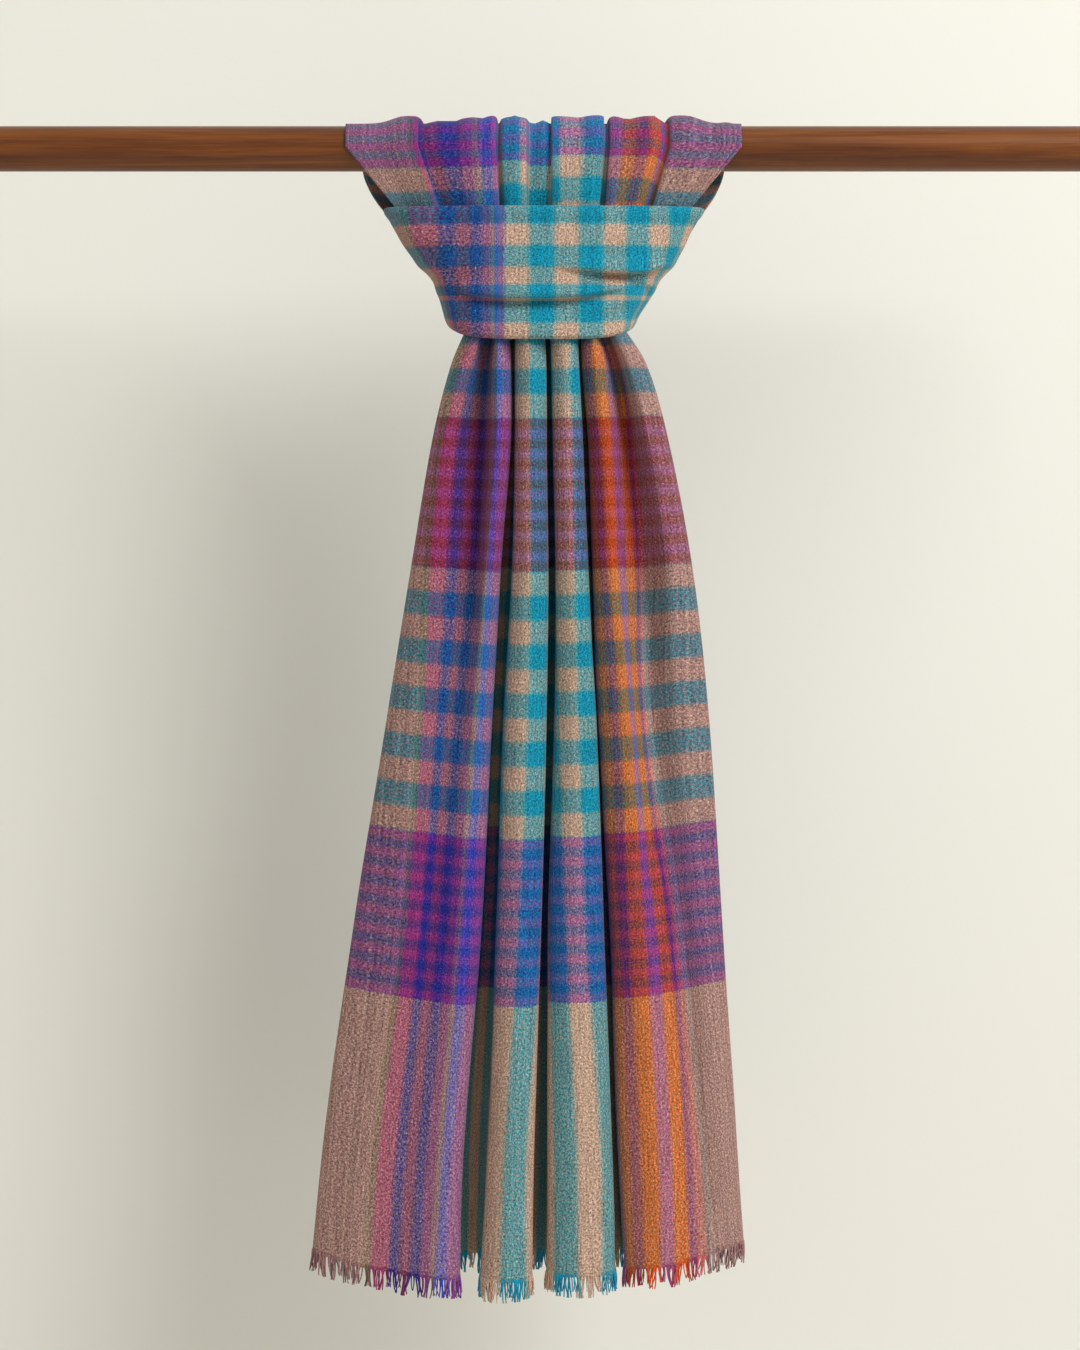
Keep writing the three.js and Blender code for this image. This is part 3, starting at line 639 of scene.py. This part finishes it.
# Band round the front of the bundle: outline, section, creases, and where the stripes fall
band = {
    "levels": [-46, -64, -85, -98, -112, -127, -143],
    "left": [-119, -110, -96, -84, -78, -73, -68],
    "right": [120, 110, 99, 88, 80, 70, 66],
    "middle": [-8, -7, -5, -4, -2, 0, 0],
    "depth": [27, 31, 35, 37, 38, 40, 42],
    "power": 2.6, "arc": 92, "columns": 150, "perStep": 8, "endRise": 11, "riseFrom": -108,
    "section": [(-58, -5.4), (-51, -6.2), (-46.7, -5.0), (-45.1, -2.4), (-46.2, 0.4), (-49.4, 1.7),
                (-53.4, 0.9), (-57.5, -0.5), (-63, 0.1), (-72, 0.5), (-82, 0.2), (-89, 1.0), (-94, 0.4),
                (-99, 0.2), (-107, 0.9), (-112, 0.6), (-118, 0.6), (-130, 0.9), (-138, 0.8),
                (-142.6, -0.3), (-144.8, -3.0)],
    # at and reach in degrees, height, lift along it, bow, half width, depth, and the swell just above it
    "creases": [(36, 38, -95, 1, 1.5, 2.1, 9.0, 0.46), (-8, 56, -115, 0, 8.5, 2.2, 8.2, 0.46),
                (30, 27, -103.5, 5, 0, 4.2, -2.4, 0), (60, 20, -104, -7, 0, 1.8, 2.6, 0.2),
                (-52, 26, -80, 6, 2, 5, 1.1, 0.3), (30, 40, -129, 2, 3, 5, 1.1, 0.3),
                (-30, 30, -131, -2, 2, 4, 0.9, 0.3), (52, 24, -66, -5, 2, 5, 1.1, 0.3),
                (2, 26, -70, 3, -2, 6, 0.8, 0.3), (-20, 22, -98, 4, 2, 4, 0.8, 0.3)],
    # in half widths of a crease: how far its groove opens downward, and the swell and the sag over it.
    # Only creases deeper than sagFrom sag over.
    "below": 4.2, "swellAt": 2.6, "swellWidth": 1.7, "sagAt": 1.9, "sagWidth": 1.5, "sagFrom": 4, "sag": 0.75,
    "fade": 1.4, "swell": (0.55, 0.06, 0.05, 5),
    # cloth measure across at each x, and along at each height. Past turnFrom degrees the plain edges turn
    # round the ends, and behind the lip the measure runs on from insideAlong.
    "across": [(-118.1, 42), (-104, 50), (-82, 62), (-68, 69.5), (-57, 77), (-46, 86), (-38, 95),
               (-32.4, 108), (-30.9, 117), (-10.4, 134.1), (7.8, 151.2), (26.4, 168.4), (44.3, 185.5),
               (61.5, 202.6), (78.6, 219.8), (93.5, 236.9), (109.9, 254), (120.3, 265)],
    "along": [(-42.5, 967.9), (-44.7, 973.2), (-58.9, 990.9), (-75.2, 1008.5), (-90.9, 1026.2),
              (-104.3, 1043.8), (-111.8, 1060.6), (-116.2, 1080), (-132.6, 1096.8), (-145.3, 1110.9)],
    "turnFrom": 58, "leftEnd": 11.2, "rightEnd": 268.0, "insideAlong": 966, "insideRate": 1.2,
}


def bandPoint(degrees, level, offset):
    levels = band["levels"]
    low = max(0.0, (level - band["riseFrom"]) / (levels[-1] - band["riseFrom"]))
    z = level + band["endRise"] * low * abs(degrees / band["arc"]) ** 2.5
    left, right, middle, depth = (np.array([smoothAt(levels, band[side], one) for one in z])
                                  for side in ("left", "right", "middle", "depth"))
    sine, cosine = np.sin(np.radians(degrees)), np.cos(np.radians(degrees))
    power = 2 / band["power"]
    x = (left + right) / 2 + ((right - left) / 2 + offset) * np.sign(sine) * abs(sine) ** power
    y = middle - (depth + offset) * np.sign(cosine) * abs(cosine) ** power
    return np.stack([x, y, z], -1)


def bandCrease(degrees, z):
    depth, sag = np.zeros_like(degrees), np.zeros_like(degrees)
    for at, reach, height, lift, bow, half, deep, swell in band["creases"]:
        run = (degrees - at) / reach
        over = (z - height - lift * run - bow * run ** 2) / half
        fade = np.where(abs(run) < 1, np.cos(np.clip(run, -1, 1) * math.pi / 2) ** band["fade"], 0)
        groove = np.exp(-(over / np.where(over > 0, 1.0, band["below"])) ** 2)
        swollen = np.exp(-((over - band["swellAt"]) / band["swellWidth"]) ** 2)
        depth += deep * fade * (groove - swell * swollen)
        folded = np.exp(-((over - band["sagAt"]) / band["sagWidth"]) ** 2)
        sag += max(deep - band["sagFrom"], 0) * band["sag"] * fade * folded
    return depth, sag


def bandMeasure(z):
    heights, measures = zip(*band["along"])
    return np.interp(-z, [-height for height in heights], measures)


def bandGrid():
    section = np.array([[(z, offset, 0.0) for z, offset in band["section"]]], dtype=float)
    line = throughFolds(section, band["perStep"])[0]
    degrees = np.linspace(-band["arc"], band["arc"], band["columns"])
    side = ease(abs(degrees), band["turnFrom"], band["arc"])
    ends = np.where(degrees < 0, band["leftEnd"], band["rightEnd"])
    height, acrossScale, alongScale, seed = band["swell"]
    top = int(np.argmax(line[:, 0]))
    rows, acrossCut, alongCut = [], [], []
    for i, (z, offset, _) in enumerate(line):
        wobble = height * swells(degrees * acrossScale, np.full_like(degrees, z * alongScale), seed)
        depth, sag = bandCrease(degrees, z)
        row = bandPoint(degrees, z, offset - depth + wobble)
        row[:, 2] -= sag
        rows.append(row)
        acrossCut.append(blend(np.interp(row[:, 0], *zip(*band["across"])), ends, side))
        inside = band["insideAlong"] - band["insideRate"] * (line[top, 0] - z)
        alongCut.append(np.full(len(degrees), bandMeasure(z) if i >= top else inside))
    return np.array(rows), np.array(acrossCut), np.array(alongCut)


bandFace, bandAcross, bandAlong = bandGrid()
bandCloth = clothPiece("knot_band_cloth", bandFace, 1, bandAcross, bandAlong, woven)
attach(bandCloth, "root")
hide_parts("knot_band")
print("band made", len(bandCloth.data.polygons))

# Legs: from the band's ends round behind and up to the back edge of the cloth on the rod
leg = {
    "rows": 44, "parting": 6, "top": -49.0, "low": -143.5,
    # pull at the upper and the lower edge where a leg leaves the band and where it arrives at the rod
    "startTop": (-12, 22, 8), "startLow": (6, 95, 10), "finishTop": (-4, 2, 40), "finishLow": (46, -16, 90),
    # stripes swing from the band's to the rod's over this share of the leg, and run is its length in cloth
    "swing": 0.35, "run": 120, "rightBorder": 618, "borderShare": (0.05, 0.3),
    # place, half width and depth, and how much they all sway on the way up
    "creases": [(0.16, 0.05, 1.4), (0.34, 0.045, 1.8), (0.52, 0.05, 1.5), (0.7, 0.045, 1.7),
                (0.86, 0.05, 1.2)], "sway": 0.04, "fade": 0.7,
}


def legGrid(sign):
    pick = np.nonzero(rodFace[-1, :, 0] * sign > leg["parting"])[0]
    if sign > 0:
        pick = pick[::-1]
    target, w = rodFace[-1, pick], np.linspace(0, 1, len(pick))
    z = blend(leg["top"], leg["low"], w)
    start = np.array([bandPoint(np.array([sign * band["arc"]]), height, 0.0)[0] for height in z])
    turn = np.array([-sign, 1, 1])
    leave = blend(np.array(leg["startTop"]), np.array(leg["startLow"]), w[:, None]) * turn
    arrive = blend(np.array(leg["finishTop"]), np.array(leg["finishLow"]), w[:, None]) * turn
    edge = band["leftEnd"] if sign < 0 else blend(leg["rightBorder"], band["rightEnd"],
                                                  ease(w, *leg["borderShare"]))
    rows, acrossCut, alongCut = [], [], []
    for t in np.linspace(0, 1, leg["rows"]):
        rows.append(start * (2 * t ** 3 - 3 * t ** 2 + 1) + leave * (t ** 3 - 2 * t ** 2 + t)
                    + target * (3 * t ** 2 - 2 * t ** 3) + arrive * (t ** 3 - t ** 2))
        swing = ease(t, 0, leg["swing"])
        acrossCut.append(blend(edge, rodAcross[-1, pick], swing))
        alongCut.append(blend(bandMeasure(z), rodAlong[-1, pick] + leg["run"] * (1 - t), swing))
    face = np.array(rows)
    t = np.linspace(0, 1, leg["rows"])[:, None]
    push = np.zeros(face.shape[:2])
    for at, half, depth in leg["creases"]:
        crease = np.exp(-((w[None] - at - leg["sway"] * np.sin(5 * t)) / half) ** 2)
        push += depth * crease * np.sin(t * math.pi) ** leg["fade"]
    return face - sign * faceNormals(face) * push[..., None], np.array(acrossCut), np.array(alongCut)


for legName, sign in (("leg_left", -1), ("leg_right", 1)):
    legFace, legAcross, legAlong = legGrid(sign)
    legCloth = clothPiece(legName + "_cloth", legFace, -sign, legAcross, legAlong, woven)
    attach(legCloth, "root")
    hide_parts(legName)
print("legs made")

# Back tail: its own folds, with its face to the rear
backTail = {
    "levels": [-34, -96, -140, -219, -413, -615, -809],
    "front": [-10.5, 5, 12.5, 15.5, 17, 18, 19],
    "back": [-4.5, 12, 26, 38, 44, 47, 50],
    "top": -34, "bottom": -809, "rows": 190, "perFold": 8,
    # x at each level, depth, drop, cloth measure across
    "folds": [
        ([-74, -56, -42, -62, -92, -120, -148], 0.1, 4, 0),
        ([-79, -61, -48.5, -74, -106, -133, -160], 0.5, 2, 14),
        ([-69, -51, -44, -65, -94, -118, -140], 0.95, 6, 45),
        ([-53, -40, -34, -50, -72, -92, -108], 0.1, 9, 96), ([-40, -30, -26, -36, -52, -66, -78], 1, 12, 142),
        ([-26, -20, -17, -22, -32, -42, -50], 0, 10, 192),
        ([-11, -8, -8, -9, -13, -17, -22], 0.92, 15, 240), ([3, 2, 1, 4, 6, 7, 8], 0.06, 11, 296),
        ([17, 13, 10, 17, 24, 30, 36], 1, 14, 350), ([33, 24, 19, 31, 43, 53, 62], 0, 9, 408),
        ([48, 35, 29, 45, 63, 77, 88], 0.96, 10, 468), ([60, 45, 38, 58, 82, 99, 113], 0.12, 6, 536),
        ([76, 59, 52, 72, 101, 121, 138], 0.55, 2, 600), ([71, 54, 44, 62, 88, 108, 126], 0.12, 4, 630),
    ],
    "swell": (0.4, 2.3, 0.02, 9, -60, -200),
    "creases": [(2.6, 0.3, -320, -720, 0.22, 1.4), (4.5, -0.2, -240, -600, 0.22, 1.2),
                (6.4, 0.2, -420, -800, 0.24, 1.5), (8.5, -0.2, -260, -640, 0.22, 1.3),
                (10.4, 0.2, -380, -780, 0.22, 1.5), (11.6, -0.2, -300, -700, 0.2, 1.2)],
}
backFace, backAcross, backFromHem = hangingGrid(backTail, backTail["folds"], -1)
backAlong = shawl["length"] - backFromHem
backCloth = clothPiece("back_tail_cloth", backFace, -1, backAcross, backAlong, woven)
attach(backCloth, "root")
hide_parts("back_tail")
print("back tail made", len(backCloth.data.polygons))

# Fringe: yarn ends in small clumps, grown by Geometry Nodes along each hem
fringe = {
    "spacing": 0.9, "length": 17.5, "radius": 0.78, "taper": 0.6, "bow": 0.13, "play": 0.16,
    "clump": 4.4, "gather": 0.75, "rootsUp": 2.2, "clumpLean": 0.1, "cornerLean": 0.3, "corner": 22,
    "size": 0.88, "sizePlay": 0.14,
    # how far clumps wander along the hem and how fast, how lean and size change from clump to clump
    "wander": [(1.3, 0.37, 1), (0.9, 0.83, 2)], "leanTurn": 4.7, "sizeTurn": 2.9, "spin": 3.1,
    "sides": 5, "steps": 5,
}


def addSocket(tree, name, kind, value=None, inOut="INPUT"):
    socket = tree.interface.new_socket(name=name, in_out=inOut, socket_type=kind)
    if value is not None:
        socket.default_value = value
    return socket


# One yarn end: a bowed line that hangs from its root, with a ring that tapers along it
def yarnEnd(tree, length, radius):
    middle = addNode(tree, "ShaderNodeCombineXYZ", {0: times(tree, length, fringe["bow"]),
                                                    2: times(tree, length, -0.5)})
    end = addNode(tree, "ShaderNodeCombineXYZ", {2: times(tree, length, -1.0)})
    line = addNode(tree, "GeometryNodeCurveQuadraticBezier", {
        "Resolution": fringe["steps"], "Start": (0, 0, 0), "Middle": middle.outputs[0],
        "End": end.outputs[0]}).outputs[0]
    factor = addNode(tree, "GeometryNodeSplineParameter").outputs["Factor"]
    thin = mapRange(tree, factor, {"To Min": 1.0, "To Max": fringe["taper"]})
    ring = addNode(tree, "GeometryNodeCurvePrimitiveCircle", {"Resolution": fringe["sides"],
                                                              "Radius": radius}).outputs[0]
    return addNode(tree, "GeometryNodeCurveToMesh", {"Curve": line, "Profile Curve": ring, "Scale": thin,
                                                     "Fill Caps": True}).outputs[0]


def randomVector(tree, reach, seed):
    least = tuple(-part for part in reach)
    return addNode(tree, "FunctionNodeRandomValue", {"Min": least, "Max": reach, "Seed": seed},
                   data_type="FLOAT_VECTOR").outputs[0]


def fringeTree():
    tree = bpy.data.node_groups.new("fringe_strands", "GeometryNodeTree")
    sockets = {"Roots": addSocket(tree, "Roots", "NodeSocketGeometry")}
    addSocket(tree, "Fringe", "NodeSocketGeometry", inOut="OUTPUT")
    for name, kind, value in (("Strand Length", "NodeSocketFloat", fringe["length"] * mm),
                              ("Strand Radius", "NodeSocketFloat", fringe["radius"] * mm),
                              ("Lean Play", "NodeSocketFloat", fringe["play"]), ("Seed", "NodeSocketInt", 3),
                              ("Yarn", "NodeSocketMaterial", None)):
        sockets[name] = addSocket(tree, name, kind, value)
    start = tree.nodes.new("NodeGroupInput").outputs
    strand = yarnEnd(tree, start["Strand Length"], start["Strand Radius"])
    lean, size = (addNode(tree, "GeometryNodeInputNamedAttribute", {"Name": name}, data_type=kind).outputs[0]
                  for name, kind in (("lean", "FLOAT_VECTOR"), ("size", "FLOAT")))
    played = scaled(tree, randomVector(tree, (1, 1, 0), start["Seed"]), start["Lean Play"])
    turn = addNode(tree, "ShaderNodeVectorMath", {0: lean, 1: played}, operation="ADD").outputs[0]
    placed = addNode(tree, "GeometryNodeInstanceOnPoints", {
        "Points": start["Roots"], "Instance": strand, "Rotation": turn, "Scale": size}).outputs[0]
    spin = randomVector(tree, (0, 0, fringe["spin"]), plus(tree, start["Seed"], 7.0))
    spun = addNode(tree, "GeometryNodeRotateInstances", {"Instances": placed, "Rotation": spin,
                                                         "Local Space": True}).outputs[0]
    real = addNode(tree, "GeometryNodeRealizeInstances", {"Geometry": spun}).outputs[0]
    smooth = addNode(tree, "GeometryNodeSetShadeSmooth", {"Geometry": real}).outputs[0]
    made = addNode(tree, "GeometryNodeSetMaterial", {"Geometry": smooth, "Material": start["Yarn"]})
    addNode(tree, "NodeGroupOutput", {"Fringe": made.outputs[0]})
    return tree, sockets


strandTree, strandSockets = fringeTree()


# Roots along the hem, each with its lean, its size and the cloth's measure across there for the colour
def fringeRoots(name, face, across, side, seed):
    hem = face[-1] + side * 0.5 * shawl["wall"] * faceNormals(face)[-1]
    hem[:, 2] += fringe["rootsUp"]
    run = np.concatenate([[0], np.cumsum(np.linalg.norm(np.diff(hem, axis=0), axis=1))])
    at = np.arange(0.5, run[-1] - 0.5, fringe["spacing"])
    roots = np.stack([np.interp(at, run, hem[:, k]) for k in range(3)], -1)
    edges = np.gradient(roots, axis=0)
    edges /= np.linalg.norm(edges, axis=1, keepdims=True)
    wander = sum(far * np.sin(at * rate + turn * seed) for far, rate, turn in fringe["wander"])
    clump = np.floor((at + wander) / fringe["clump"])
    centre = np.array([at[clump == number].mean() for number in clump])
    towards = fringe["gather"] * (centre - at) / fringe["length"]
    towards += fringe["clumpLean"] * np.sin(clump * fringe["leanTurn"] + seed)
    towards -= fringe["cornerLean"] * (1 - ease(at, 0, fringe["corner"]))
    towards += fringe["cornerLean"] * ease(at, run[-1] - fringe["corner"], run[-1])
    lean = np.stack([edges[:, 1] * towards, -edges[:, 0] * towards, np.zeros(len(at))], -1)
    size = fringe["size"] + fringe["sizePlay"] * np.sin(clump * fringe["sizeTurn"] + seed)
    mesh = bpy.data.meshes.new(name + "_roots")
    mesh.from_pydata((roots * mm).tolist(), [], [])
    for label, kind, field, values in (("lean", "FLOAT_VECTOR", "vector", lean),
                                       ("size", "FLOAT", "value", size),
                                       ("across", "FLOAT", "value", np.interp(at, run, across[-1]))):
        layer = mesh.attributes.new(label, kind, "POINT")
        layer.data.foreach_set(field, values.astype(np.float32).ravel())
    return mesh


def fringeAlong(name, face, across, side, seed):
    grown = addObject(name + "_roots", fringeRoots(name, face, across, side, seed))
    modifier = grown.modifiers.new("strands", "NODES")
    modifier.node_group = strandTree
    modifier[strandSockets["Seed"].identifier] = seed
    modifier[strandSockets["Yarn"].identifier] = fringeYarn
    graph = bpy.context.evaluated_depsgraph_get()
    strands = bpy.data.meshes.new_from_object(grown.evaluated_get(graph), preserve_all_data_layers=True,
                                              depsgraph=graph)
    bpy.data.objects.remove(grown)
    return addObject(name, strands)


frontFringe = fringeAlong("front_fringe_yarn", tailFace, tailAcross, 1, 3)
backFringe = fringeAlong("back_fringe_yarn", backFace, backAcross, -1, 8)
for piece, node in ((frontFringe, "front_fringe"), (backFringe, "back_fringe")):
    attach(piece, "root")
    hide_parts(node)
print("fringe made", len(frontFringe.data.polygons), len(backFringe.data.polygons))

# Stage: a plain pale floor well below, a plain pale wall behind that only its front shows, pale surroundings
stage = {
    "floor": -1.5, "size": 9.0, "wall": 0.26, "wallTop": 4.0, "finish": {"Roughness": 0.9},
    "grain": {"Scale": 2.0},
    "paint": (0.79, 0.785, 0.735, 1), "palerPaint": (0.82, 0.815, 0.76, 1),
    "seen": (0.80, 0.795, 0.74, 1), "light": (1, 0.965, 0.9, 1), "ambient": 0.5,
}


def stagePlane(name, corners, oneSided):
    mesh = bpy.data.meshes.new(name)
    mesh.from_pydata(corners, [], [(0, 1, 2, 3)])
    paint, tree, shader = newMaterial("pale_" + name, stage["finish"])
    place = addNode(tree, "ShaderNodeTexCoord").outputs["Object"]
    grain = noiseOn(tree, place, stage["grain"])
    tree.links.new(mixColour(tree, grain, stage["paint"], stage["palerPaint"]), shader.inputs["Base Color"])
    if oneSided:
        clear = addNode(tree, "ShaderNodeBsdfTransparent").outputs[0]
        behind = addNode(tree, "ShaderNodeNewGeometry").outputs["Backfacing"]
        both = addNode(tree, "ShaderNodeMixShader", {0: behind, 1: shader.outputs[0], 2: clear}).outputs[0]
        tree.links.new(both, tree.nodes["Material Output"].inputs[0])
    mesh.materials.append(paint)
    plane = addObject(name, mesh)


def makeStage():
    half, low, back, top = stage["size"] / 2, stage["floor"], stage["wall"], stage["wallTop"]
    stagePlane("floor", [(-half, -half, low), (half, -half, low), (half, half, low), (-half, half, low)],
               False)
    stagePlane("wall", [(-half, back, low), (half, back, low), (half, back, top), (-half, back, top)], True)
    world = bpy.data.worlds.new("pale_room")
    bpy.context.scene.world = world
    world.use_nodes = True
    tree = world.node_tree
    tree.nodes.clear()
    seen = addNode(tree, "ShaderNodeBackground", {"Color": stage["seen"], "Strength": 1.0}).outputs[0]
    light = addNode(tree, "ShaderNodeBackground", {"Color": stage["light"],
                                                   "Strength": stage["ambient"]}).outputs[0]
    isSeen = addNode(tree, "ShaderNodeLightPath").outputs["Is Camera Ray"]
    mixed = addNode(tree, "ShaderNodeMixShader", {0: isSeen, 1: light, 2: seen}).outputs[0]
    addNode(tree, "ShaderNodeOutputWorld", {"Surface": mixed})


makeStage()

# Lamps: a broad soft key from the right front and a weak fill from the left, both aimed at the shawl.
# Each one as: name, place, size, watts, tint.
lampAim = Vector((0, 0, -0.4))
lamps = [
    ("key", (2.0, -2.3, 2.0), 2.2, 118, (1, 1, 0.99)),
    ("fill", (-2.6, -1.2, 0.2), 2.6, 5, (1, 0.95, 0.86)),
]
for name, place, size, watts, tint in lamps:
    data = bpy.data.lights.new(name, "AREA")
    data.shape, data.size, data.energy, data.color = "DISK", size, watts, tint
    lamp = addObject(name, data)
    lamp.location = place
    lamp.rotation_euler = (lampAim - Vector(place)).to_track_quat("-Z", "Y").to_euler()

# Camera level with the middle of the shawl, straight on, as in the photograph
view = {"distance": 4.0, "x": -0.0026, "z": -0.394, "height": 1.006, "plane": -0.02, "sensor": 36.0}
cameraData = bpy.data.cameras.new("camera")
cameraData.sensor_fit = "AUTO"
cameraData.sensor_width = view["sensor"]
cameraData.lens = (view["distance"] + view["plane"]) * view["sensor"] / view["height"]
camera = addObject("camera", cameraData)
camera.location = (view["x"], -view["distance"], view["z"])
camera.rotation_euler = (math.pi / 2, 0, 0)
bpy.context.scene.camera = camera
bpy.context.scene.view_settings.view_transform = "Standard"
